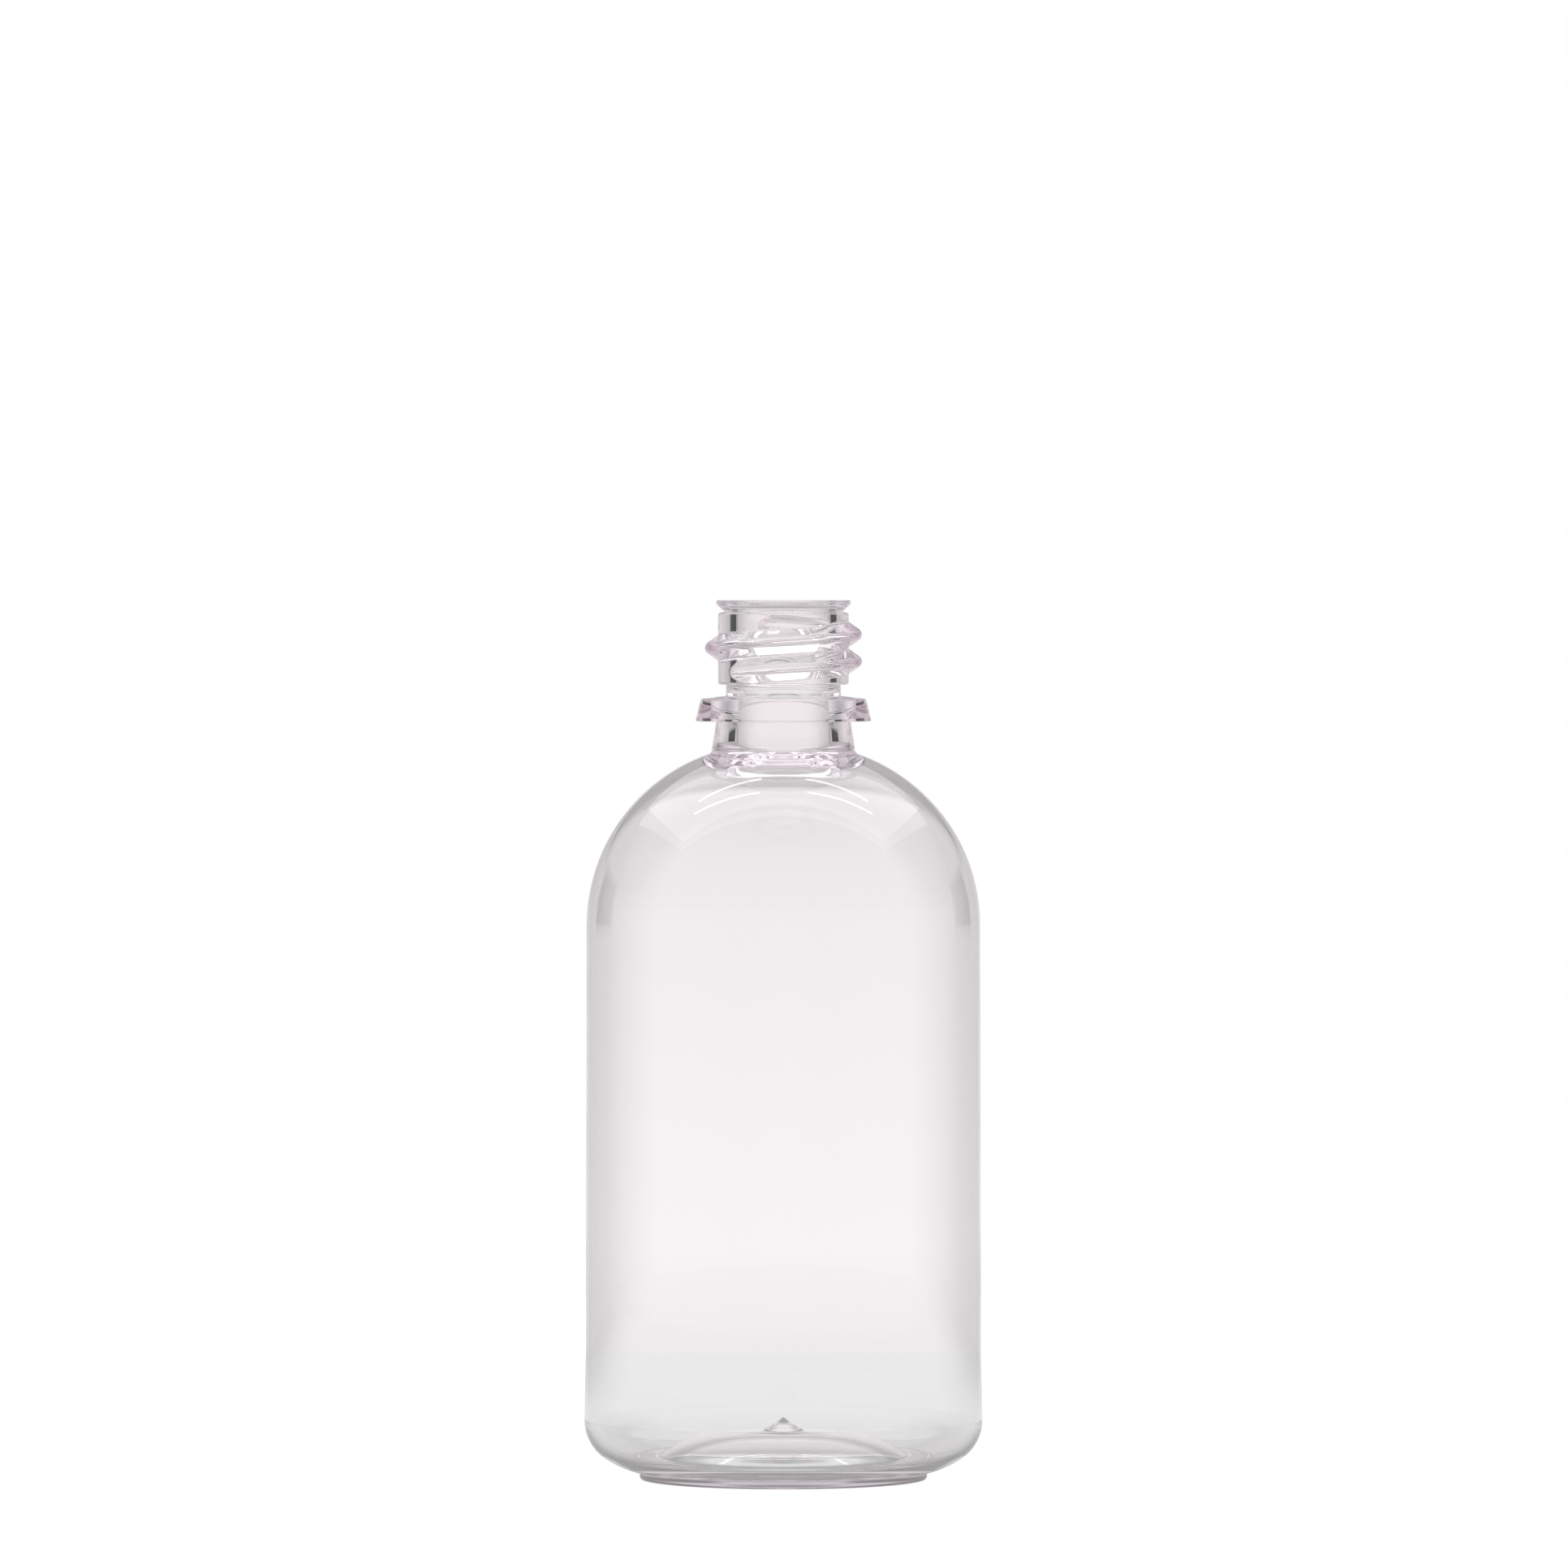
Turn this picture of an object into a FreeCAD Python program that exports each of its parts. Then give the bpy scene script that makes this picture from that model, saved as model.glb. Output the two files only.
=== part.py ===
import FreeCAD, Part
import math
import os

# Round medicine bottle for liquids, one piece of clear polyester (PET).
# The neck is injection moulded with its thread and keeps that shape.
# The body is blown from the rest of the same moulded tube, so its wall is thin
# and grows thicker towards the neck and the standing ring.
#
# Millimetres. The axis is Z, the bottle stands on z = 0 and the mouth faces +Z.
# Radii and heights are those of the outside unless a name says otherwise.

# Whole bottle
HEIGHT = 135.9          # standing ring to top of lip
BODY_R = 30.4           # body, just under the shoulder
BODY_DRAFT = 0.16       # how much wider the body is just above the heel
HEEL_SWELL = 0.22       # how far the heel stands out beyond the body
HEEL_RAMP = 10.5        # height over which it does so

# Neck finish, heights measured down from the top of the lip
BORE_R = 7.2            # hole through the neck
LIP_R = 10.4
LIP_EDGE = 0.6          # height of the lip's straight rim
LIP_ROUND = 0.25
V_ROOT_DOWN = 1.75      # bottom of the groove under the lip
V_DEPTH = 0.95          # how far that groove cuts in from the wall
WALL_R = 10.1           # cylinder that carries the thread
WALL_TOP_DOWN = 2.05
WALL_END_DOWN = 13.05
WALL_ROUND = 0.3
WALL_END_ROUND = 0.4
GROOVE_DEPTH = 1.23     # plain groove between the thread and the bead
GROOVE_END_DOWN = 14.8
BEAD_TOP_R = 12.75      # bead that holds the tamper band, wider at its foot
BEAD_TOP_FALL = 0.4     # how far its upper face falls towards the rim
BEAD_R = 13.6
BEAD_END_DOWN = 18.7
BEAD_ROUND = 0.45
BEAD_FOOT_ROUND = 0.12
NECK_R = 10.4           # cone from the bead down to the shoulder
NECK_END_R = 11.15
NECK_LENGTH = 4.9
NECK_FILLET = 0.7

# Thread: single start, right hand, coarse, with a rounded crest
THREAD_DEPTH = 2.05     # height of the crest over the wall
THREAD_PITCH = 4.15
THREAD_TURNS = 1.74
THREAD_TOP_DOWN = 3.9   # centre of the crest where the thread ends, near the lip
THREAD_END_TURN = 122.0 # where that end lies, degrees from +X towards +Y
THREAD_FLANK = 35.0     # slope of both flanks, degrees from level
THREAD_CREST_R = 1.0    # radius of the crest in section
THREAD_RUNOUT = 30.0    # degrees over which each end sinks into the wall
THREAD_SECTIONS = 24    # sections per turn

# Shoulder and body wall
SHOULDER_RISE = 26.6    # from the top of the straight body to the neck
BODY_WALL = 0.45
NECK_ROOT_WALL = 1.6    # under the neck, measured straight down
THROAT_TAPER = 0.15     # how much the bore widens below the bead
THROAT_ROUND = 3.3      # where the bore opens into the shoulder

# Heel: a tight curve and then a flatter one, ending at the standing ring
HEEL_CORNER_R = 7.0
HEEL_SOLE_R = 15.0
HEEL_TURN = 56.0        # degrees turned by the tight curve
HEEL_WALL = 0.5
HEEL_CORNER_WALL = 0.6
HEEL_SOLE_WALL = 3.0    # difference of the two sole radii: the wall thickens inwards

# Standing ring and the domed push-up inside it
FOOT_R = 22.2
FOOT_H = 1.1
FOOT_ROUND = 0.5
FLOOR_OUT = 0.9         # inside, the floor over the ring starts this far beyond it
FLOOR_WALL = 1.0
FLOOR_WIDTH = 3.4       # from the heel to the foot of the dome
FLOOR_FALL = 0.35       # how far the floor falls towards the dome
DOME_FOOT_ROUND = 1.0
FLANK_RUN = 6.36        # steep flank of the dome, measured level
FLANK_RISE = 4.96
CROWN_RISE = 0.83       # flat crown, from the top of the flank to the axis
CROWN_EDGE_ROUND = 17.0
DOME_WALL = 1.3
CONE_R = 3.3            # cone of thick plastic left in the middle, inside
CONE_H = 1.8
CONE_FILLET = 0.6
GATE_R = 1.7            # stub of the moulding gate, underneath
GATE_H = 0.5
GATE_ROUND = 0.15


def point(r, z):
    """A point of the half section, at radius r and height z."""
    return FreeCAD.Vector(r, 0, z)


def turned_arc(centre, radius, start, end):
    """An arc of the half section, its angles measured from +r towards +z."""
    def at(angle):
        a = math.radians(angle)
        return point(centre.x + radius * math.cos(a), centre.z + radius * math.sin(a))

    return Part.Arc(at(start), at((start + end) / 2), at(end)).toShape()


class Section:
    """A closed half section drawn edge by edge, with its corners rounded on the way."""

    def __init__(self, start):
        self.start = start
        self.at = start
        self.edges = []

    def rounding(self, edge, corner):
        """The rounding between the last edge and a new one, on the side where it is nearest."""
        fits = []
        for side in (1, -1):
            plane = Part.Plane(self.at, FreeCAD.Vector(0, side, 0))
            tool = Part.ChFi2d.FilletAPI(self.edges[-1], edge, plane)
            if tool.perform(corner):
                fits.append(tool.result(self.at))
        return min(fits, key=lambda fit: self.gap(fit[0]))

    def gap(self, fillet):
        """How far the middle of a rounding lies from the corner that it rounds."""
        middle = fillet.valueAt((fillet.FirstParameter + fillet.LastParameter) / 2)
        return middle.distanceToPoint(self.at)

    def add(self, edge, corner):
        """Joins one edge on, with a rounding of radius corner before it."""
        end = edge.valueAt(edge.LastParameter)
        if corner > 0:
            fillet, before, after = self.rounding(edge, corner)
            self.edges[-1] = before
            self.edges += [fillet, after]
        else:
            self.edges.append(edge)
        self.at = end

    def line(self, r, z, corner=0.0):
        self.add(Part.LineSegment(self.at, point(r, z)).toShape(), corner)

    def arc(self, edge, corner=0.0):
        self.add(edge, corner)

    def turned(self):
        """The solid of revolution."""
        self.line(self.start.x, self.start.z)
        face = Part.Face(Part.Wire(Part.__sortEdges__(self.edges)))
        return face.revolve(FreeCAD.Vector(0, 0, 0), FreeCAD.Vector(0, 0, 1), 360)


def quarter_arc(wide, high, outward):
    """The arc from a vertical wall at wide (r, z) to a point high (r, z) nearer the axis."""
    run = wide[0] - high[0]
    rise = high[1] - wide[1]
    radius = (run * run + rise * rise) / (2 * run)
    centre = point(wide[0] - radius, wide[1])
    top = math.degrees(math.atan2(rise, high[0] - centre.x))
    if outward:
        return turned_arc(centre, radius, top, 0)
    return turned_arc(centre, radius, 0, top)


class Heel:
    """Two tangent arcs from a vertical wall at wide_r down and in to (end_r, end_z)."""

    def __init__(self, wide_r, corner_r, sole_r, end_r, end_z):
        turn = math.radians(HEEL_TURN)
        self.corner_r = corner_r
        self.sole_r = sole_r
        self.corner_x = wide_r - corner_r
        self.sole_x = self.corner_x + (corner_r - sole_r) * math.cos(turn)
        self.end = math.degrees(math.acos((end_r - self.sole_x) / sole_r))
        self.sole_z = end_z + sole_r * math.sin(math.radians(self.end))
        self.corner_z = self.sole_z - (sole_r - corner_r) * math.sin(turn)

    def height(self, r):
        """Height of the flatter arc at radius r."""
        return self.sole_z - math.sqrt(self.sole_r ** 2 - (r - self.sole_x) ** 2)

    def corner(self, start, end):
        return turned_arc(point(self.corner_x, self.corner_z), self.corner_r, start, end)

    def sole(self, start, end):
        return turned_arc(point(self.sole_x, self.sole_z), self.sole_r, start, end)


def beside(a, b, gap):
    """The line through a and b moved down by gap, measured square to it, as point and slope."""
    slope = (b[1] - a[1]) / (b[0] - a[0])
    return a[0], a[1] - gap * math.hypot(1, slope), slope


def crossing(one, other):
    """Where two lines given as point and slope meet."""
    r = (other[1] - one[1] + one[2] * one[0] - other[2] * other[0]) / (one[2] - other[2])
    return r, one[1] + one[2] * (r - one[0])


def bottle_body():
    """The whole bottle but for its thread, turned from one closed section."""
    heel_r = BODY_R + BODY_DRAFT + HEEL_SWELL
    outer = Heel(heel_r, HEEL_CORNER_R, HEEL_SOLE_R, FOOT_R, FOOT_H)
    floor_r = FOOT_R + FLOOR_OUT
    floor_z = outer.height(floor_r) + FLOOR_WALL
    inner = Heel(heel_r - HEEL_WALL, HEEL_CORNER_R - HEEL_CORNER_WALL,
                 HEEL_SOLE_R - HEEL_SOLE_WALL, floor_r, floor_z)
    ramp_z = outer.corner_z + HEEL_RAMP
    shoulder_z = HEIGHT - BEAD_END_DOWN - NECK_LENGTH
    straight_z = shoulder_z - SHOULDER_RISE
    inner_r = BODY_R - BODY_WALL

    # the dome inside, and the same lines one wall lower for the underside
    foot = (floor_r - FLOOR_WIDTH, floor_z - FLOOR_FALL)
    edge = (foot[0] - FLANK_RUN, foot[1] + FLANK_RISE)
    crown = (0.0, edge[1] + CROWN_RISE)
    flank_under = beside(edge, foot, DOME_WALL)
    crown_under = beside(crown, edge, DOME_WALL)
    edge_under = crossing(crown_under, flank_under)
    foot_under = crossing(flank_under, (0.0, 0.0, 0.0))
    cone_slope = (edge[1] - crown[1]) / edge[0]
    gate_z = crown_under[1] + crown_under[2] * GATE_R

    s = Section(point(0, gate_z - GATE_H))
    # underside and standing ring
    s.line(GATE_R, gate_z - GATE_H)
    s.line(GATE_R, gate_z, GATE_ROUND)
    s.line(*edge_under)
    s.line(*foot_under, CROWN_EDGE_ROUND - DOME_WALL)
    s.line(FOOT_R, 0, FOOT_ROUND)
    s.line(FOOT_R, FOOT_H, FOOT_ROUND)
    # heel, body and shoulder
    s.arc(outer.sole(-outer.end, -HEEL_TURN))
    s.arc(outer.corner(-HEEL_TURN, 0))
    s.line(BODY_R + BODY_DRAFT, ramp_z)
    s.line(BODY_R, straight_z)
    s.arc(quarter_arc((BODY_R, straight_z), (NECK_END_R, shoulder_z), False))
    # neck finish
    s.line(NECK_R, HEIGHT - BEAD_END_DOWN, NECK_FILLET)
    s.line(BEAD_R, HEIGHT - BEAD_END_DOWN, BEAD_FOOT_ROUND)
    s.line(BEAD_TOP_R, HEIGHT - GROOVE_END_DOWN - BEAD_TOP_FALL, BEAD_FOOT_ROUND)
    s.line(WALL_R - GROOVE_DEPTH, HEIGHT - GROOVE_END_DOWN, BEAD_ROUND)
    s.line(WALL_R - GROOVE_DEPTH, HEIGHT - WALL_END_DOWN)
    s.line(WALL_R, HEIGHT - WALL_END_DOWN)
    s.line(WALL_R, HEIGHT - WALL_TOP_DOWN, WALL_END_ROUND)
    s.line(WALL_R - V_DEPTH, HEIGHT - V_ROOT_DOWN, WALL_ROUND)
    s.line(LIP_R, HEIGHT - LIP_EDGE)
    s.line(LIP_R, HEIGHT)
    s.line(BORE_R, HEIGHT, LIP_ROUND)
    # inside, from the mouth down
    s.line(BORE_R, HEIGHT - BEAD_END_DOWN, LIP_ROUND)
    throat = quarter_arc((inner_r, straight_z), (NECK_END_R, shoulder_z - NECK_ROOT_WALL), True)
    throat_r = BORE_R + THROAT_TAPER
    radius = throat.Curve.Radius
    centre = throat.Curve.Center
    meet = centre.z + math.sqrt(radius ** 2 - (throat_r - centre.x) ** 2)
    s.line(throat_r, meet)
    turn = math.degrees(math.atan2(meet - centre.z, throat_r - centre.x))
    s.arc(turned_arc(centre, radius, turn, 0), THROAT_ROUND)
    s.line(inner_r + BODY_DRAFT, ramp_z)
    s.line(heel_r - HEEL_WALL, inner.corner_z)
    s.arc(inner.corner(0, -HEEL_TURN))
    s.arc(inner.sole(-HEEL_TURN, -inner.end))
    # floor behind the standing ring, dome and the cone in its middle
    s.line(*foot)
    s.line(*edge, DOME_FOOT_ROUND)
    s.line(CONE_R, crown[1] + cone_slope * CONE_R, CROWN_EDGE_ROUND)
    s.line(0, crown[1] + CONE_H, CONE_FILLET)
    return s.turned()


def thread_section(angle, height, depth):
    """The thread's outline at one angle, its crest depth above the wall and its root inside it."""
    lean = math.radians(THREAD_FLANK)
    crest = WALL_R + depth
    side = THREAD_CREST_R * math.cos(lean)
    drop = THREAD_CREST_R * (1 - math.sin(lean))
    root = crest - THREAD_DEPTH - 0.25
    half = side + (crest - drop - root) * math.tan(lean)
    around = FreeCAD.Vector(math.cos(math.radians(angle)), math.sin(math.radians(angle)), 0)

    def at(r, z):
        return around * r + FreeCAD.Vector(0, 0, height + z)

    low = at(crest - drop, -side)
    high = at(crest - drop, side)
    return Part.Wire([
        Part.LineSegment(at(root, -half), low).toShape(),
        Part.Arc(low, at(crest, 0), high).toShape(),
        Part.LineSegment(high, at(root, half)).toShape(),
        Part.LineSegment(at(root, half), at(root, -half)).toShape(),
    ])


def wall_band():
    """The space that the thread may fill: from inside the wall outwards, over its height."""
    bottom = HEIGHT - WALL_END_DOWN
    height = WALL_END_DOWN - WALL_TOP_DOWN - WALL_ROUND
    base = FreeCAD.Vector(0, 0, bottom)
    inside = WALL_R - WALL_END_ROUND - 0.1
    return Part.makeCylinder(WALL_R + THREAD_DEPTH + 1, height, base).cut(Part.makeCylinder(inside, height, base))


def thread():
    """The coarse thread, its ends sinking into the wall, lofted in runs of under one turn."""
    sweep = 360.0 * THREAD_TURNS
    count = round(THREAD_TURNS * THREAD_SECTIONS)
    sections = []
    for i in range(count + 1):
        along = sweep * i / count
        nearest = min(along, sweep - along)
        sunk = max(0.0, 1 - nearest / THREAD_RUNOUT)
        depth = THREAD_DEPTH - (THREAD_DEPTH + 0.1) * sunk ** 2
        height = HEIGHT - THREAD_TOP_DOWN - THREAD_PITCH * (sweep - along) / 360.0
        sections.append(thread_section(THREAD_END_TURN - sweep + along, height, depth))
    run = THREAD_SECTIONS * 3 // 4
    runs = []
    for first in range(0, count, run):
        loft = Part.makeLoft(sections[first:first + run + 1], True, False)
        runs.append(loft.common(wall_band()))
    return runs


bottle = bottle_body()
for run in thread():
    bottle = bottle.fuse(run)
os.makedirs("parts", exist_ok=True)
bottle.exportStep("parts/bottle.step")
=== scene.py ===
import bpy
import math
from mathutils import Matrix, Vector


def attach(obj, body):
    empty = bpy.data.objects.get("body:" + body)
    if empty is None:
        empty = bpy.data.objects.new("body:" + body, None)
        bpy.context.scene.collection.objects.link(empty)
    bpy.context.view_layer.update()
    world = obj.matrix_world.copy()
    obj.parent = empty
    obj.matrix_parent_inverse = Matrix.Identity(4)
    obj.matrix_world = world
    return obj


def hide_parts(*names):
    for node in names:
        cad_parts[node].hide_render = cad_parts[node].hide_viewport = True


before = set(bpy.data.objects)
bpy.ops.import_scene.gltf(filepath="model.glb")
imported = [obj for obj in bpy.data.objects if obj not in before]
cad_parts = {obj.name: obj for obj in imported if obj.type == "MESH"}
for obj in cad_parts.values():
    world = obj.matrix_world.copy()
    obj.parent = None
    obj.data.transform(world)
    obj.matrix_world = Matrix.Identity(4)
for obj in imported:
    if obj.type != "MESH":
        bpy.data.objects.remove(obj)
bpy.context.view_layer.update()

# CAMERA
# A long lens, level with the lip and almost two metres away, looks very slightly down,
# so the bottle shows hardly any perspective and only the base is seen from above.
CAMERA_AWAY = 1.8746
CAMERA_HEIGHT = 0.1361
CAMERA_ASIDE = 0.00009
CAMERA_DOWN = 0.874     # degrees
LENS, SENSOR = 278.6, 36        # mm

bpy.ops.object.select_all(action="DESELECT")
bpy.ops.object.camera_add(
    location=(CAMERA_ASIDE, -CAMERA_AWAY, CAMERA_HEIGHT),
    rotation=(math.radians(90 - CAMERA_DOWN), 0, 0),
)
camera = bpy.context.object
camera.name = "camera"
camera.data.lens = LENS
camera.data.sensor_width = SENSOR
bpy.context.scene.camera = camera
bpy.context.scene.view_settings.view_transform = "Standard"
# light is followed far enough to find its way out of clear plastic
LIGHT_TURNS = 16
bpy.context.scene.cycles.max_bounces = LIGHT_TURNS
bpy.context.scene.cycles.glossy_bounces = LIGHT_TURNS
bpy.context.scene.cycles.transmission_bounces = LIGHT_TURNS
bpy.context.scene.cycles.transparent_max_bounces = LIGHT_TURNS

# BOTTLE
# One piece of clear PET. The neck keeps its moulded shape, with the thread and the bead
# for the tamper band; the body below is blown thin from the same tube. Its half section
# is drawn as a chain of points, from the gate mark underneath, up the outside, over the
# lip and down the inside to the cone in the middle of the floor, and then spun round.
MM = 0.001
DOUBLES = 0.000002          # points nearer to each other than this are one
HEIGHT = 135.9
BODY_R, BODY_LOW_R, HEEL_R = 30.4, 30.56, 30.78
HEEL_RAMP = 10.5
# neck, as radii and distances down from the lip
BORE_R, LIP_R, LIP_EDGE, LIP_ROUND = 7.2, 10.4, 0.6, 0.25
V_ROOT_R, V_ROOT_DOWN = 9.15, 1.75
WALL_R, WALL_TOP_DOWN, WALL_END_DOWN = 10.1, 2.05, 13.05
WALL_ROUND, WALL_END_ROUND = 0.3, 0.4
GROOVE_R, GROOVE_END_DOWN = 8.87, 14.8
BEAD_TOP_R, BEAD_TOP_FALL, BEAD_R, BEAD_END_DOWN = 12.75, 0.4, 13.6, 18.7
BEAD_ROUND, BEAD_FOOT_ROUND = 0.45, 0.12
NECK_R, NECK_END_R, NECK_LENGTH, NECK_FILLET = 10.4, 11.15, 4.9, 0.7
# shoulder, body and heel
SHOULDER_RISE, BODY_WALL, NECK_ROOT_WALL = 26.6, 0.45, 1.6
THROAT_R, THROAT_ROUND = 7.35, 3.3
HEEL_CORNER_R, HEEL_SOLE_R, HEEL_TURN = 7.0, 15.0, 56.0
HEEL_WALL, HEEL_CORNER_WALL, HEEL_SOLE_WALL = 0.5, 0.6, 3.0
# standing ring, dome and cone
FOOT_R, FOOT_H, FOOT_ROUND = 22.2, 1.1, 0.5
FLOOR_OUT, FLOOR_WALL, FLOOR_WIDTH, FLOOR_FALL = 0.9, 1.0, 3.4, 0.35
FLANK_RUN, FLANK_RISE, CROWN_RISE = 6.36, 4.96, 0.83
DOME_WALL, DOME_FOOT_ROUND, CROWN_EDGE_ROUND = 1.3, 1.0, 17.0
CONE_R, CONE_H, CONE_FILLET = 3.3, 1.8, 0.6
GATE_R, GATE_H, GATE_ROUND = 1.7, 0.5, 0.15
# edges in a small rounding, and in one whose radius is over WIDE_ROUND
ROUND_STEPS, WIDE_ROUND_STEPS, WIDE_ROUND = 4, 10, 5
# edges in the heel's two arcs, the shoulder outside and inside, and right round the bottle
SOLE_STEPS, HEEL_STEPS, SHOULDER_STEPS, INNER_STEPS, AROUND = 10, 18, 34, 32, 192
CLEAR_OF_ROUND = 0.05       # the wall's rows start this far above its lower rounding
# rows of edges in the body and its ramp, in the bore and in the wall under the thread
BODY_ROWS, RAMP_ROWS, BORE_ROWS, WALL_ROWS = 8, 3, 4, 84


def chain_end():
    """Radius and height, in mm, of the point that the chain has reached."""
    obj = bpy.context.edit_object
    obj.update_from_editmode()
    for v in obj.data.vertices:
        if v.select:
            return v.co.x / MM, v.co.z / MM


def draw(r, z, pieces=1):
    """Draws the chain on to radius r and height z, in so many equal edges."""
    from_r, from_z = chain_end()
    step = ((r - from_r) / pieces * MM, 0, (z - from_z) / pieces * MM)
    for i in range(pieces):
        bpy.ops.mesh.extrude_region_move(TRANSFORM_OT_translate={"value": step})


def swing(centre, degrees, steps):
    """Draws an arc on about centre, counted from outwards to upwards."""
    bpy.ops.mesh.spin(
        steps=steps, angle=math.radians(degrees), axis=(0, 1, 0),
        center=(centre[0] * MM, 0, centre[1] * MM),
    )


def soften(corners):
    """Rounds corners of the chain, each given as radius, height and size of the rounding."""
    for r, z, size in corners:
        bpy.ops.mesh.select_all(action="DESELECT")
        bpy.ops.object.mode_set(mode="OBJECT")
        here = Vector((r * MM, 0, z * MM))
        corner = min(bottle.data.vertices, key=lambda v: (v.co - here).length)
        arms = []
        for e in bottle.data.edges:
            if corner.index in e.vertices:
                other = sum(e.vertices) - corner.index
                arms.append(bottle.data.vertices[other].co - corner.co)
        half_turn = (math.pi - arms[0].angle(arms[1])) / 2
        corner.select = True
        bpy.ops.object.mode_set(mode="EDIT")
        bpy.ops.mesh.bevel(
            offset=size * MM * math.tan(half_turn), affect="VERTICES",
            segments=WIDE_ROUND_STEPS if size > WIDE_ROUND else ROUND_STEPS,
            profile=0.5, clamp_overlap=False,
        )


def crossing(one, other):
    """Where two lines meet, each given as a radius, a height and a slope."""
    r = (other[1] - one[1] + one[2] * one[0] - other[2] * other[0]) / (one[2] - other[2])
    return r, one[1] + one[2] * (r - one[0])


def heel_centres(wide_r, corner_r, sole_r, end_r, end_z):
    """Centres of the tight and the flat arc of a heel, and the angle at which it ends."""
    turn = math.radians(HEEL_TURN)
    corner_x = wide_r - corner_r
    sole_x = corner_x + (corner_r - sole_r) * math.cos(turn)
    end = math.acos((end_r - sole_x) / sole_r)
    sole_z = end_z + sole_r * math.sin(end)
    corner_z = sole_z - (sole_r - corner_r) * math.sin(turn)
    return (corner_x, corner_z), (sole_x, sole_z), math.degrees(end)


heel, sole, sole_end = heel_centres(HEEL_R, HEEL_CORNER_R, HEEL_SOLE_R, FOOT_R, FOOT_H)
floor_r = FOOT_R + FLOOR_OUT
floor_z = sole[1] - math.sqrt(HEEL_SOLE_R ** 2 - (floor_r - sole[0]) ** 2) + FLOOR_WALL
heel_in, sole_in, sole_in_end = heel_centres(
    HEEL_R - HEEL_WALL, HEEL_CORNER_R - HEEL_CORNER_WALL,
    HEEL_SOLE_R - HEEL_SOLE_WALL, floor_r, floor_z,
)
ramp_z = heel[1] + HEEL_RAMP
bead_z = HEIGHT - BEAD_END_DOWN
shoulder_z = bead_z - NECK_LENGTH
straight_z = shoulder_z - SHOULDER_RISE
foot = (floor_r - FLOOR_WIDTH, floor_z - FLOOR_FALL)
edge = (foot[0] - FLANK_RUN, foot[1] + FLANK_RISE)
crown_z = edge[1] + CROWN_RISE
flank_slope = -FLANK_RISE / FLANK_RUN
crown_slope = -CROWN_RISE / edge[0]
crown_under = crown_z - DOME_WALL * math.hypot(1, crown_slope)
flank_under = (edge[0], edge[1] - DOME_WALL * math.hypot(1, flank_slope), flank_slope)
edge_under = crossing((0, crown_under, crown_slope), flank_under)
foot_under = crossing(flank_under, (0, 0, 0))
gate_z = crown_under + crown_slope * GATE_R

bpy.ops.object.select_all(action="DESELECT")
bpy.ops.mesh.primitive_plane_add(size=MM, location=(0, 0, 0))
bottle = bpy.context.object
bottle.name = "clear_bottle"
bottle.data.name = "clear_bottle"
bpy.ops.object.mode_set(mode="EDIT")
bpy.context.tool_settings.mesh_select_mode = (True, False, False)
bpy.ops.mesh.select_all(action="SELECT")
bpy.ops.mesh.merge(type="CENTER")
bpy.ops.transform.translate(value=(0, 0, (gate_z - GATE_H) * MM))

# underside and standing ring
draw(GATE_R, gate_z - GATE_H)
draw(GATE_R, gate_z)
draw(*edge_under)
draw(*foot_under)
draw(FOOT_R, 0)
draw(FOOT_R, FOOT_H)
# heel, body and shoulder
swing(sole, sole_end - HEEL_TURN, SOLE_STEPS)
swing(heel, HEEL_TURN, HEEL_STEPS)
draw(BODY_LOW_R, ramp_z, RAMP_ROWS)
draw(BODY_R, straight_z, BODY_ROWS)
rise = shoulder_z - straight_z
run = BODY_R - NECK_END_R
shoulder_radius = (run * run + rise * rise) / (2 * run)
shoulder = (BODY_R - shoulder_radius, straight_z)
swing(shoulder, math.degrees(math.atan2(rise, NECK_END_R - shoulder[0])), SHOULDER_STEPS)
# neck, bead, groove, wall and lip
draw(NECK_R, bead_z)
draw(BEAD_R, bead_z)
draw(BEAD_TOP_R, HEIGHT - GROOVE_END_DOWN - BEAD_TOP_FALL)
draw(GROOVE_R, HEIGHT - GROOVE_END_DOWN)
draw(GROOVE_R, HEIGHT - WALL_END_DOWN)
draw(WALL_R, HEIGHT - WALL_END_DOWN)
draw(WALL_R, HEIGHT - WALL_END_DOWN + WALL_END_ROUND + CLEAR_OF_ROUND)
draw(WALL_R, HEIGHT - WALL_TOP_DOWN - WALL_ROUND, WALL_ROWS)
draw(WALL_R, HEIGHT - WALL_TOP_DOWN)
draw(V_ROOT_R, HEIGHT - V_ROOT_DOWN)
draw(LIP_R, HEIGHT - LIP_EDGE)
draw(LIP_R, HEIGHT)
draw(BORE_R, HEIGHT)
# inside, from the mouth down
draw(BORE_R, bead_z, BORE_ROWS)
inner_r = BODY_R - BODY_WALL
run = inner_r - NECK_END_R
rise = rise - NECK_ROOT_WALL
inner_radius = (run * run + rise * rise) / (2 * run)
inner = (inner_r - inner_radius, straight_z)
throat_turn = math.acos((THROAT_R - inner[0]) / inner_radius)
throat_z = straight_z + inner_radius * math.sin(throat_turn)
draw(THROAT_R, throat_z)
# the arc's first degrees are one straight edge, which leaves the throat's rounding room
first_turn = 9
first_end = throat_turn - math.radians(first_turn)
draw(inner[0] + inner_radius * math.cos(first_end), straight_z + inner_radius * math.sin(first_end))
swing(inner, first_turn - math.degrees(throat_turn), INNER_STEPS)
draw(BODY_LOW_R - BODY_WALL, ramp_z, BODY_ROWS)
draw(HEEL_R - HEEL_WALL, heel_in[1], RAMP_ROWS)
swing(heel_in, -HEEL_TURN, HEEL_STEPS)
swing(sole_in, HEEL_TURN - sole_in_end, SOLE_STEPS)
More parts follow.
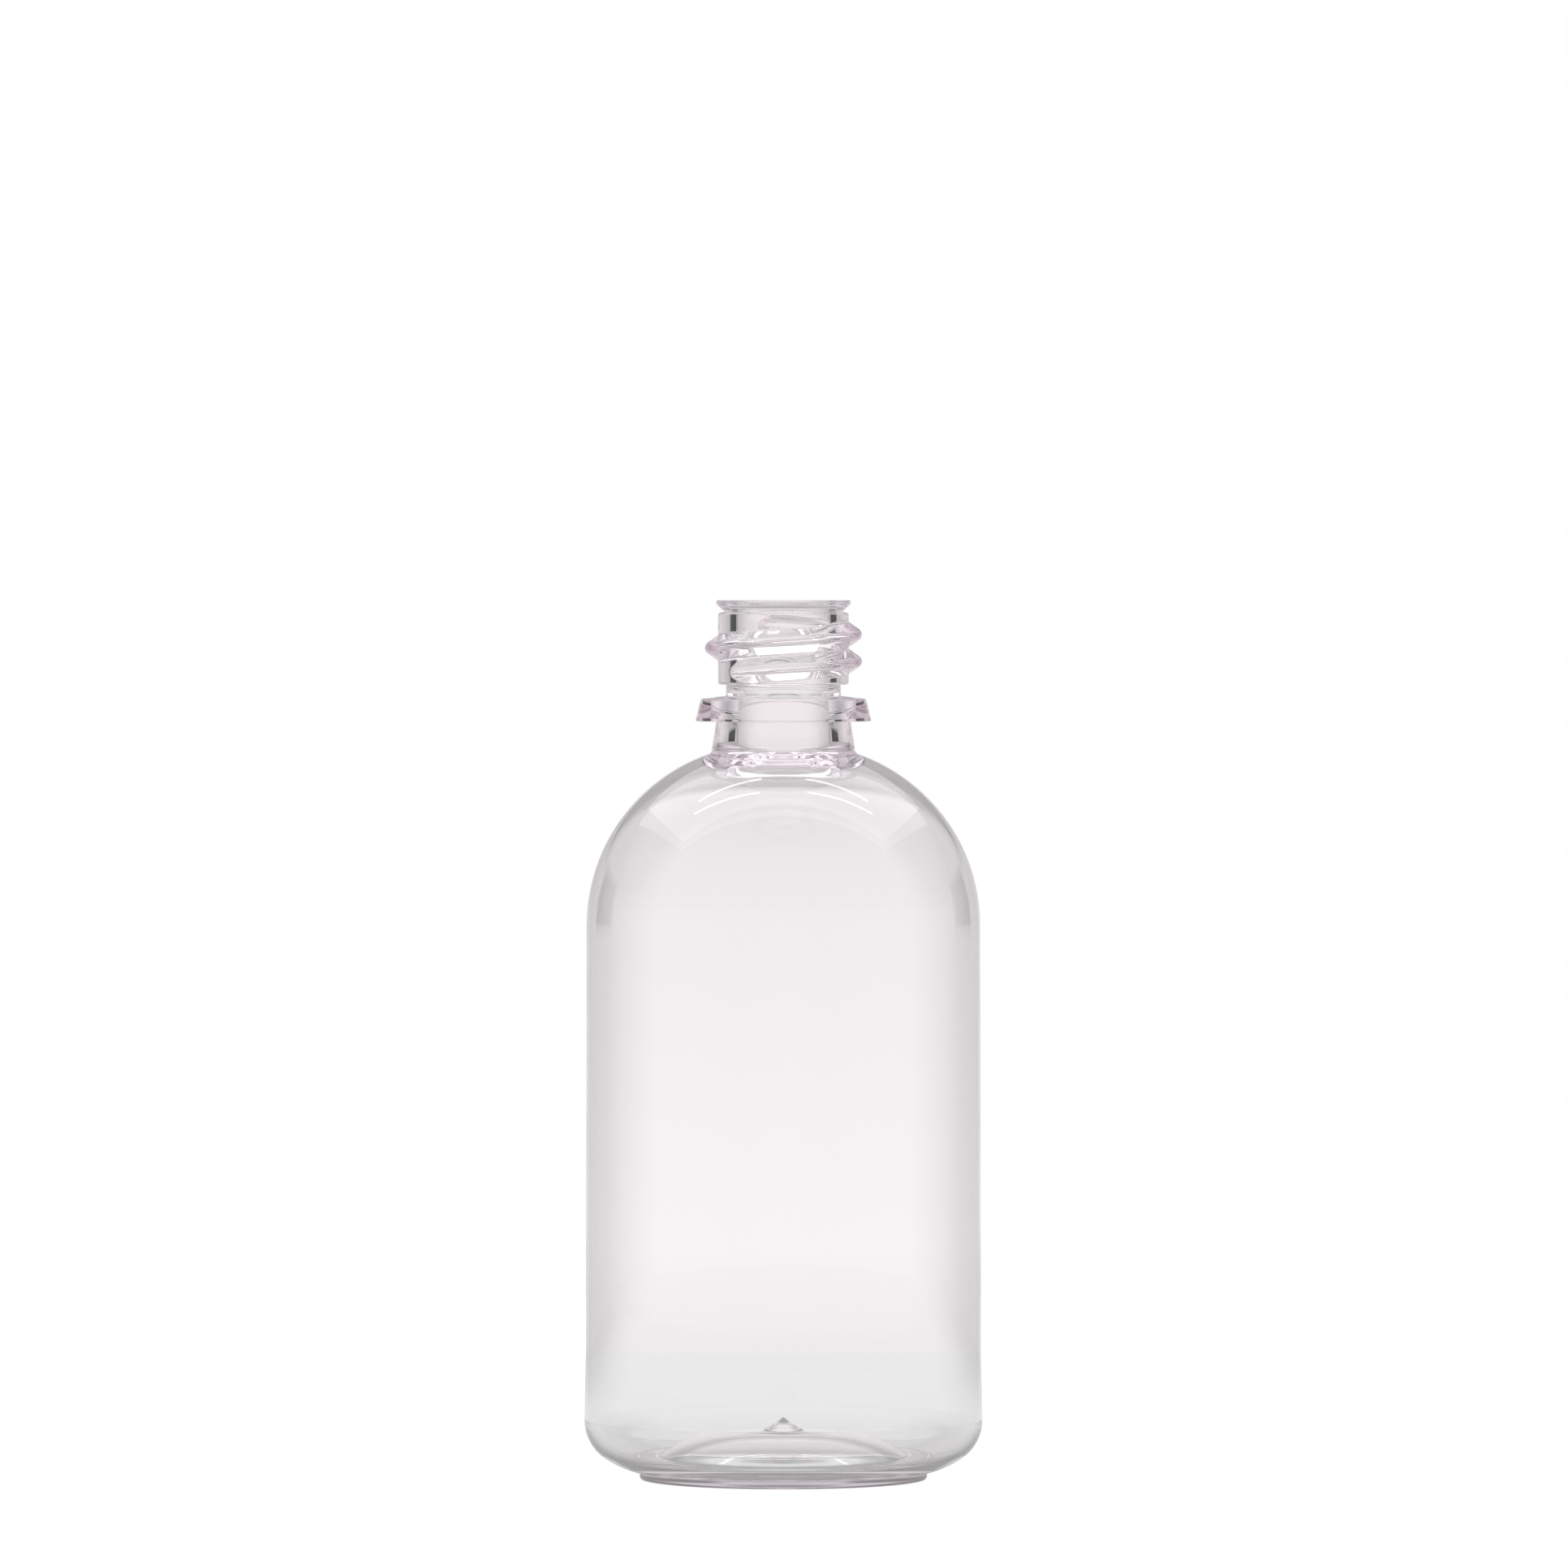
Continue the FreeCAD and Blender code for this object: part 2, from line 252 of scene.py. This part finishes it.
# floor, dome and cone
draw(*foot)
draw(*edge)
draw(CONE_R, crown_z + crown_slope * CONE_R)
draw(0, crown_z + CONE_H)

soften([
    (GATE_R, gate_z - GATE_H, GATE_ROUND),
    (*edge_under, CROWN_EDGE_ROUND - DOME_WALL),
    (*foot_under, FOOT_ROUND),
    (FOOT_R, 0, FOOT_ROUND),
    (NECK_END_R, shoulder_z, NECK_FILLET),
    (NECK_R, bead_z, BEAD_FOOT_ROUND),
    (BEAD_R, bead_z, BEAD_FOOT_ROUND),
    (BEAD_TOP_R, HEIGHT - GROOVE_END_DOWN - BEAD_TOP_FALL, BEAD_ROUND),
    (WALL_R, HEIGHT - WALL_END_DOWN, WALL_END_ROUND),
    (WALL_R, HEIGHT - WALL_TOP_DOWN, WALL_ROUND),
    (LIP_R, HEIGHT, LIP_ROUND),
    (BORE_R, HEIGHT, LIP_ROUND),
    (THROAT_R, throat_z, THROAT_ROUND),
    (*foot, DOME_FOOT_ROUND),
    (*edge, CROWN_EDGE_ROUND),
    (CONE_R, crown_z + crown_slope * CONE_R, CONE_FILLET),
])

bpy.ops.mesh.select_all(action="SELECT")
bpy.ops.mesh.spin(steps=AROUND, angle=math.tau, axis=(0, 0, 1), center=(0, 0, 0))
bpy.ops.mesh.select_all(action="SELECT")
bpy.ops.mesh.remove_doubles(threshold=DOUBLES)
bpy.ops.mesh.normals_make_consistent(inside=False)
bpy.ops.object.mode_set(mode="OBJECT")

# The thread: the wall's rows are pushed out to a ridge that winds once and three
# quarters round it, right-handed, with both ends sinking into the wall.
THREAD_R, THREAD_PITCH, THREAD_TURNS = 12.15, 4.15, 1.74
THREAD_TOP_DOWN, THREAD_END_TURN = 3.9, 122.0
THREAD_FLANK, THREAD_CREST_R, THREAD_RUNOUT = 35.0, 1.0, 30.0
SUNK_IN = 0.1               # how far below the wall the crest is where it ends
ON_WALL = 0.01              # how near to the wall's limits a point still belongs to it

full = THREAD_R - WALL_R
sweep = 360 * THREAD_TURNS
lean = math.radians(THREAD_FLANK)
side = THREAD_CREST_R * math.cos(lean)
drop = THREAD_CREST_R * (1 - math.sin(lean))
for v in bottle.data.vertices:
    r = math.hypot(v.co.x, v.co.y) / MM
    z = v.co.z / MM
    if r < WALL_R - WALL_END_ROUND - ON_WALL:
        continue
    if not HEIGHT - WALL_END_DOWN - ON_WALL < z < HEIGHT - WALL_TOP_DOWN:
        continue
    turn = math.degrees(math.atan2(v.co.y, v.co.x))
    reach = r
    for lap in (-2, -1, 0, 1):
        along = turn + 360 * lap - THREAD_END_TURN + sweep
        if not 0 <= along <= sweep:
            continue
        sunk = max(0, 1 - min(along, sweep - along) / THREAD_RUNOUT)
        crest = THREAD_R - (full + SUNK_IN) * sunk ** 2
        off = abs(z - (HEIGHT - THREAD_TOP_DOWN - THREAD_PITCH * (sweep - along) / 360))
        if off < side:
            ridge = crest - THREAD_CREST_R + math.sqrt(THREAD_CREST_R ** 2 - off ** 2)
        else:
            ridge = crest - drop - (off - side) / math.tan(lean)
        reach = max(reach, ridge)
    v.co.x *= reach / r
    v.co.y *= reach / r

bpy.ops.object.shade_smooth()
bpy.ops.object.modifier_add(type="WEIGHTED_NORMAL")
bpy.ops.object.modifier_apply(modifier=bottle.modifiers[0].name)


def srgb(code):
    """Turns an sRGB hex colour into the linear one that Blender uses."""
    channels = [int(code[i:i + 2], 16) / 255 for i in (1, 3, 5)]
    return [c / 12.92 if c <= 0.04045 else ((c + 0.055) / 1.055) ** 2.4 for c in channels] + [1]


def add(tree, kind, inputs=None, **settings):
    """Adds a node with its settings, and fills or links its inputs."""
    made = tree.nodes.new(kind)
    for name, value in settings.items():
        setattr(made, name, value)
    for name, value in (inputs or {}).items():
        if isinstance(value, bpy.types.NodeSocket):
            tree.links.new(value, made.inputs[name])
        else:
            made.inputs[name].default_value = value
    return made


# PET, moulded at the neck and blown below: perfectly clear and glossy, faintly mauve
# where the plastic is thick, with the shallow waves that blowing leaves in the wall.
PET_IOR = 1.575
PET_TINT = "#FDFAFC"        # what is left of white light after PET_DEPTH of plastic
PET_DEPTH = 0.007
WAVES, WAVE_HEIGHT = 60.0, 0.00002
CAUGHT_AFTER = 6            # light that turned so often goes straight on, or it would end black
SHINE_THROUGH = "#ECECEC"   # what a surface leaves of it, and of the lamps' light in shadows

pet = bpy.data.materials.new("clear_pet")
pet.use_nodes = True
tree = pet.node_tree
tree.nodes.clear()
coords = add(tree, "ShaderNodeTexCoord")
waves = add(tree, "ShaderNodeTexNoise", {
    "Vector": coords.outputs["Object"], "Scale": WAVES, "Detail": 1.0,
})
bump = add(tree, "ShaderNodeBump", {
    "Height": waves.outputs["Fac"], "Strength": 1.0, "Distance": WAVE_HEIGHT,
})
plastic = add(tree, "ShaderNodeBsdfPrincipled", {
    "Base Color": srgb("#FFFFFF"), "Roughness": 0.0, "IOR": PET_IOR,
    "Transmission Weight": 1.0, "Normal": bump.outputs["Normal"],
})
depth = add(tree, "ShaderNodeVolumeAbsorption", {
    "Color": srgb(PET_TINT), "Density": 1 / PET_DEPTH,
})
shine_through = add(tree, "ShaderNodeBsdfTransparent", {"Color": srgb(SHINE_THROUGH)})
path = add(tree, "ShaderNodeLightPath")
caught = add(tree, "ShaderNodeMath", {
    0: path.outputs["Ray Depth"], 1: CAUGHT_AFTER,
}, operation="GREATER_THAN")
straight_on = add(tree, "ShaderNodeMath", {
    0: path.outputs["Is Shadow Ray"], 1: caught.outputs[0],
}, operation="MAXIMUM")
mix = add(tree, "ShaderNodeMixShader", {
    "Fac": straight_on.outputs[0], 1: plastic.outputs["BSDF"], 2: shine_through.outputs["BSDF"],
})
add(tree, "ShaderNodeOutputMaterial", {"Surface": mix.outputs["Shader"], "Volume": depth.outputs["Volume"]})
bottle.data.materials.clear()
bottle.data.materials.append(pet)

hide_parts("bottle")
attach(bottle, "root")

# FLOOR
# A white sweep of card, which the camera sees as the picture's white. In the plastic it is dimmer, and
# lighter and darker in rings right under the base. Those rings are painted shade under the bottle, with one
# ring left at full brightness; no shadow is cast there, and they are set so that the base's tones come near
# the picture's.
FLOOR_SPREAD = 0.5
FLOOR_DROP = 0.0002         # it lies this far under the standing ring
FLOOR_PAINT = "#7C7C7C"
FLOOR_GLOW = 0.92           # what the camera sees of it, next to what the lamps add
FLOOR_THROUGH = 0.66        # and what plastic lets through or mirrors
# how bright it is in the plastic, by distance from the bottle's axis: painted shade under the base
PAINTED_SHADE_UNDER_BASE = [
    (0, 0.45), (0.005, 0.5), (0.0075, 1.0), (0.012, 1.0), (0.0145, 0.4), (0.020, 0.35),
    (0.024, 0.55), (0.034, 0.72), (0.048, 0.82), (0.090, 0.92), (0.14, 1.0), (FLOOR_SPREAD, 1.0),
]
# and behind the bottle by distance to the sides, dimmer outwards as the backdrop is: painted shade that
# only the plastic sees
TO_THE_SIDES = [(0, 1.0), (0.05, 1.0), (0.09, 0.86), (0.16, 0.58), (0.25, 0.38), (FLOOR_SPREAD, 0.3)]
BEHIND_FROM = (0.06, 0.22)  # distances behind the axis over which this sets in

bpy.ops.object.select_all(action="DESELECT")
bpy.ops.mesh.primitive_circle_add(
    vertices=96, radius=FLOOR_SPREAD, fill_type="NGON", location=(0, 0, -FLOOR_DROP),
)
floor = bpy.context.object
floor.name = "floor"


def greys(tree, fac, stops):
    """A ramp of greys over an input from 0 to 1, given as (place, brightness) pairs."""
    ramp = add(tree, "ShaderNodeValToRGB", {"Fac": fac})
    while len(ramp.color_ramp.elements) < len(stops):
        ramp.color_ramp.elements.new(0.5)
    for stop, (place, grey) in zip(ramp.color_ramp.elements, stops):
        stop.position = place
        stop.color = (grey, grey, grey, 1)
    return ramp.outputs["Color"]


def times(tree, one, other):
    """One brightness multiplied by another."""
    return add(tree, "ShaderNodeMath", {0: one, 1: other}, operation="MULTIPLY").outputs[0]


def in_plastic(tree, path):
    """1 for what the plastic mirrors or lets through, and 0 for what the camera sees itself."""
    return add(tree, "ShaderNodeMath", {
        0: path.outputs["Is Glossy Ray"], 1: path.outputs["Is Transmission Ray"],
    }, operation="MAXIMUM").outputs[0]


white = bpy.data.materials.new("white_sweep")
white.use_nodes = True
tree = white.node_tree
tree.nodes.clear()
matt = add(tree, "ShaderNodeBsdfDiffuse", {"Color": srgb(FLOOR_PAINT)})
coords = add(tree, "ShaderNodeTexCoord")
middle = add(tree, "ShaderNodeVectorMath", {0: coords.outputs["Object"]}, operation="LENGTH")
middle = add(tree, "ShaderNodeMath", {0: middle.outputs["Value"], 1: FLOOR_SPREAD}, operation="DIVIDE")
shade = greys(tree, middle.outputs[0], [(r / FLOOR_SPREAD, grey) for r, grey in PAINTED_SHADE_UNDER_BASE])
axes = add(tree, "ShaderNodeSeparateXYZ", {0: coords.outputs["Object"]})
aside = add(tree, "ShaderNodeMath", {0: axes.outputs["X"]}, operation="ABSOLUTE")
aside = add(tree, "ShaderNodeMath", {0: aside.outputs[0], 1: FLOOR_SPREAD}, operation="DIVIDE")
aside = greys(tree, aside.outputs[0], [(x / FLOOR_SPREAD, grey) for x, grey in TO_THE_SIDES])
behind = add(tree, "ShaderNodeMapRange", {
    "Value": axes.outputs["Y"], "From Min": BEHIND_FROM[0], "From Max": BEHIND_FROM[1],
})
sides = add(tree, "ShaderNodeMix", {0: behind.outputs[0], 6: (1, 1, 1, 1), 7: aside}, data_type="RGBA")
path = add(tree, "ShaderNodeLightPath")
bent = times(tree, in_plastic(tree, path), FLOOR_THROUGH)
bent = times(tree, times(tree, bent, shade), sides.outputs[2])
seen = add(tree, "ShaderNodeMath", {
    0: path.outputs["Is Camera Ray"], 1: FLOOR_GLOW, 2: bent,
}, operation="MULTIPLY_ADD")
glow = add(tree, "ShaderNodeEmission", {"Color": srgb("#FFFFFF"), "Strength": seen.outputs[0]})
both = add(tree, "ShaderNodeAddShader", {0: matt.outputs["BSDF"], 1: glow.outputs["Emission"]})
add(tree, "ShaderNodeOutputMaterial", {"Surface": both.outputs["Shader"]})
floor.data.materials.append(white)

# ROOM
# Round the bottle is a plain room, dimmer behind and to the sides than on the camera's side.
# Only the plastic sees it so, and the camera sees white. Each list gives brightness by how
# many degrees a direction lies off the line of sight.
LEVEL = [(0, 0.41), (55, 0.41), (75, 0.62), (100, 1.0)]
ABOVE = [(0, 0.51), (30, 0.51), (60, 0.39), (80, 0.39), (100, 1.0)]
BELOW = [(0, 0.15), (80, 0.15), (100, 0.84)]
ABOVE_FROM, BELOW_FROM = (10, 14), (-12, -6)        # degrees above level
BACKDROP = "#FFFBFC"
ROOM_LIGHT = (0.5, 0.5, 0.5, 1)     # what the room sheds on the floor
ROOM_SEEN = (1, 1, 1, 1)            # and what the camera sees of it

world = bpy.data.worlds.new("studio")
bpy.context.scene.world = world
world.use_nodes = True
tree = world.node_tree
tree.nodes.clear()
coords = add(tree, "ShaderNodeTexCoord")
level = add(tree, "ShaderNodeVectorMath", {
    0: coords.outputs["Generated"], 1: (1, 1, 0),
}, operation="MULTIPLY")
level = add(tree, "ShaderNodeVectorMath", {0: level.outputs[0]}, operation="NORMALIZE")
axes = add(tree, "ShaderNodeSeparateXYZ", {0: level.outputs[0]})
turned = add(tree, "ShaderNodeMath", {0: axes.outputs["Y"]}, operation="ARCCOSINE")
turned = add(tree, "ShaderNodeMath", {0: turned.outputs[0], 1: math.pi}, operation="DIVIDE")
up = add(tree, "ShaderNodeSeparateXYZ", {0: coords.outputs["Generated"]})
up = add(tree, "ShaderNodeMapRange", {"Value": up.outputs["Z"], "From Min": -1, "From Max": 1})


def around(stops):
    """The greys of the room at one height, from straight behind the bottle round to the front."""
    return greys(tree, turned.outputs[0], [(degrees / 180, grey) for degrees, grey in stops])


def tinted(tree, one, other):
    """One colour multiplied by another."""
    return add(tree, "ShaderNodeMix", {
        0: 1.0, 6: one, 7: other,
    }, data_type="RGBA", blend_type="MULTIPLY").outputs[2]


def rising(start, end):
    """0 below a height, in degrees above level, and 1 from another one upwards."""
    places = [(math.sin(math.radians(degrees)) + 1) / 2 for degrees in (start, end)]
    return greys(tree, up.outputs[0], [(places[0], 0), (places[1], 1)])


room = add(tree, "ShaderNodeMix", {
    0: rising(*BELOW_FROM), 6: around(BELOW), 7: around(LEVEL),
}, data_type="RGBA")
room = add(tree, "ShaderNodeMix", {
    0: rising(*ABOVE_FROM), 6: room.outputs[2], 7: around(ABOVE),
}, data_type="RGBA")
room = tinted(tree, room.outputs[2], srgb(BACKDROP))
path = add(tree, "ShaderNodeLightPath")
sky = add(tree, "ShaderNodeMix", {
    0: path.outputs["Is Camera Ray"], 6: ROOM_LIGHT, 7: ROOM_SEEN,
}, data_type="RGBA")
sky = add(tree, "ShaderNodeMix", {
    0: in_plastic(tree, path), 6: sky.outputs[2], 7: room,
}, data_type="RGBA")
studio = add(tree, "ShaderNodeBackground", {"Color": sky.outputs[2], "Strength": 1.0})
add(tree, "ShaderNodeOutputWorld", {"Surface": studio.outputs["Background"]})

# BACKDROP AND CARDS
# A low white backdrop stands close behind the bottle. It is no lamp but glows by itself, brightest in its
# middle: painted light that falls off towards its sides and its top. A dark card hangs on each side behind
# the neck, a dark sheet that glows faintly and stands in for shade there: painted shade. The cards are what
# gives thick clear plastic its dark upright edges. Backdrop and cards are seen only in the bottle.
BACKDROP_AWAY, BACKDROP_WIDE, BACKDROP_HIGH = 0.3, 0.856, 0.166
# painted brightness, from the middle outwards, and from the foot upwards
ACROSS = [(0, 0.93), (0.1, 0.93), (0.2, 0.85), (0.37, 0.66), (0.59, 0.50), (1, 0.44)]
UPWARDS = [(0, 0.94), (0.12, 1.0), (0.24, 0.98), (0.48, 0.93), (0.72, 0.88), (0.93, 0.90), (1, 0.54)]
CARD_AWAY, CARD_ASIDE, CARD_UP = 0.148, 0.2016, 0.114
CARD_WIDE, CARD_HIGH = 0.103, 0.074
CARD_TURN = 52              # degrees that it faces off the line of sight
# the dark the cards glow with: painted shade
CARD_SHADE = "#1C1A1E"
CARD_EDGE = 0.45            # brightness that its edges fade into
# how far it has faded, from the middle outwards, and from the foot upwards
CARD_ACROSS = [(0, 0), (0.84, 0), (1, 1)]
CARD_UPWARDS = [(0, 1), (0.1, 0), (0.88, 0), (1, 1)]


def across_and_up(tree):
    """How far a point of a sheet lies out from its middle, and how far up, each from 0 to 1."""
    coords = add(tree, "ShaderNodeTexCoord")
    axes = add(tree, "ShaderNodeSeparateXYZ", {0: coords.outputs["Object"]})
    out = add(tree, "ShaderNodeMath", {0: axes.outputs["X"]}, operation="ABSOLUTE")
    high = add(tree, "ShaderNodeMath", {0: axes.outputs["Y"], 1: 0.5}, operation="ADD")
    return times(tree, out.outputs[0], 2.0), high.outputs[0]


def make_glow(tree, colour):
    """Lets the sheet glow in one colour."""
    glow = add(tree, "ShaderNodeEmission", {"Color": colour, "Strength": 1.0})
    add(tree, "ShaderNodeOutputMaterial", {"Surface": glow.outputs["Emission"]})


def hang(name, place, turn, size, material):
    """Stands up a sheet that only the bottle sees, facing the bottle."""
    bpy.ops.object.select_all(action="DESELECT")
    bpy.ops.mesh.primitive_plane_add(
        size=1, location=place, rotation=(math.radians(90), 0, math.radians(turn)),
    )
    sheet = bpy.context.object
    sheet.name = name
    sheet.scale = (*size, 1)
    sheet.visible_camera = False
    sheet.visible_diffuse = False
    sheet.visible_shadow = False
    sheet.data.materials.append(material)


glowing_backdrop = bpy.data.materials.new("backdrop_painted_glow")
dark = bpy.data.materials.new("dark_card")
for material in (glowing_backdrop, dark):
    material.use_nodes = True
    material.node_tree.nodes.clear()
    material.cycles.emission_sampling = "NONE"

# the backdrop's painted light, brightest in its middle and dimmer to its sides and top
tree = glowing_backdrop.node_tree
out, high = across_and_up(tree)
shade = tinted(tree, greys(tree, out, ACROSS), greys(tree, high, UPWARDS))
make_glow(tree, tinted(tree, shade, srgb(BACKDROP)))

# the cards' painted shade, fading to a lighter grey at their rims
tree = dark.node_tree
out, high = across_and_up(tree)
fade = add(tree, "ShaderNodeMath", {
    0: greys(tree, out, CARD_ACROSS), 1: greys(tree, high, CARD_UPWARDS),
}, operation="MAXIMUM")
shade = add(tree, "ShaderNodeMix", {
    0: fade.outputs[0], 6: srgb(CARD_SHADE), 7: (CARD_EDGE, CARD_EDGE, CARD_EDGE, 1),
}, data_type="RGBA")
make_glow(tree, shade.outputs[2])

hang("backdrop", (0, BACKDROP_AWAY, BACKDROP_HIGH / 2), 0, (BACKDROP_WIDE, BACKDROP_HIGH), glowing_backdrop)
hang("card_left", (-CARD_ASIDE, CARD_AWAY, CARD_UP), CARD_TURN, (CARD_WIDE, CARD_HIGH), dark)
hang("card_right", (CARD_ASIDE, CARD_AWAY, CARD_UP), -CARD_TURN, (CARD_WIDE, CARD_HIGH), dark)

# LAMPS
# A wide soft lamp hangs overhead behind the bottle, with a bright strip on each side.
SOFT_LAMP_PLACE = (0, 0.55, 0.865)
SOFT_LAMP_SIZE = (1.7, 1.3)
SOFT_LAMP_SHINE = 0.75
STRIP_PLACE = (0.283, 0.245, 0.84)
STRIP_SIZE = (0.367, 0.027)
STRIP_SHINE = 4.9


def lamp(name, place, size, shine):
    """A lamp that faces down, as bright as shine where white is 1."""
    bpy.ops.object.light_add(type="AREA", location=place)
    made = bpy.context.object
    made.name = name
    made.data.shape = "RECTANGLE"
    made.data.size, made.data.size_y = size
    made.data.energy = shine * math.pi * size[0] * size[1]


lamp("lamp_overhead", SOFT_LAMP_PLACE, SOFT_LAMP_SIZE, SOFT_LAMP_SHINE)
for name, side in (("lamp_left", -1), ("lamp_right", 1)):
    lamp(name, (side * STRIP_PLACE[0], STRIP_PLACE[1], STRIP_PLACE[2]), STRIP_SIZE, STRIP_SHINE)
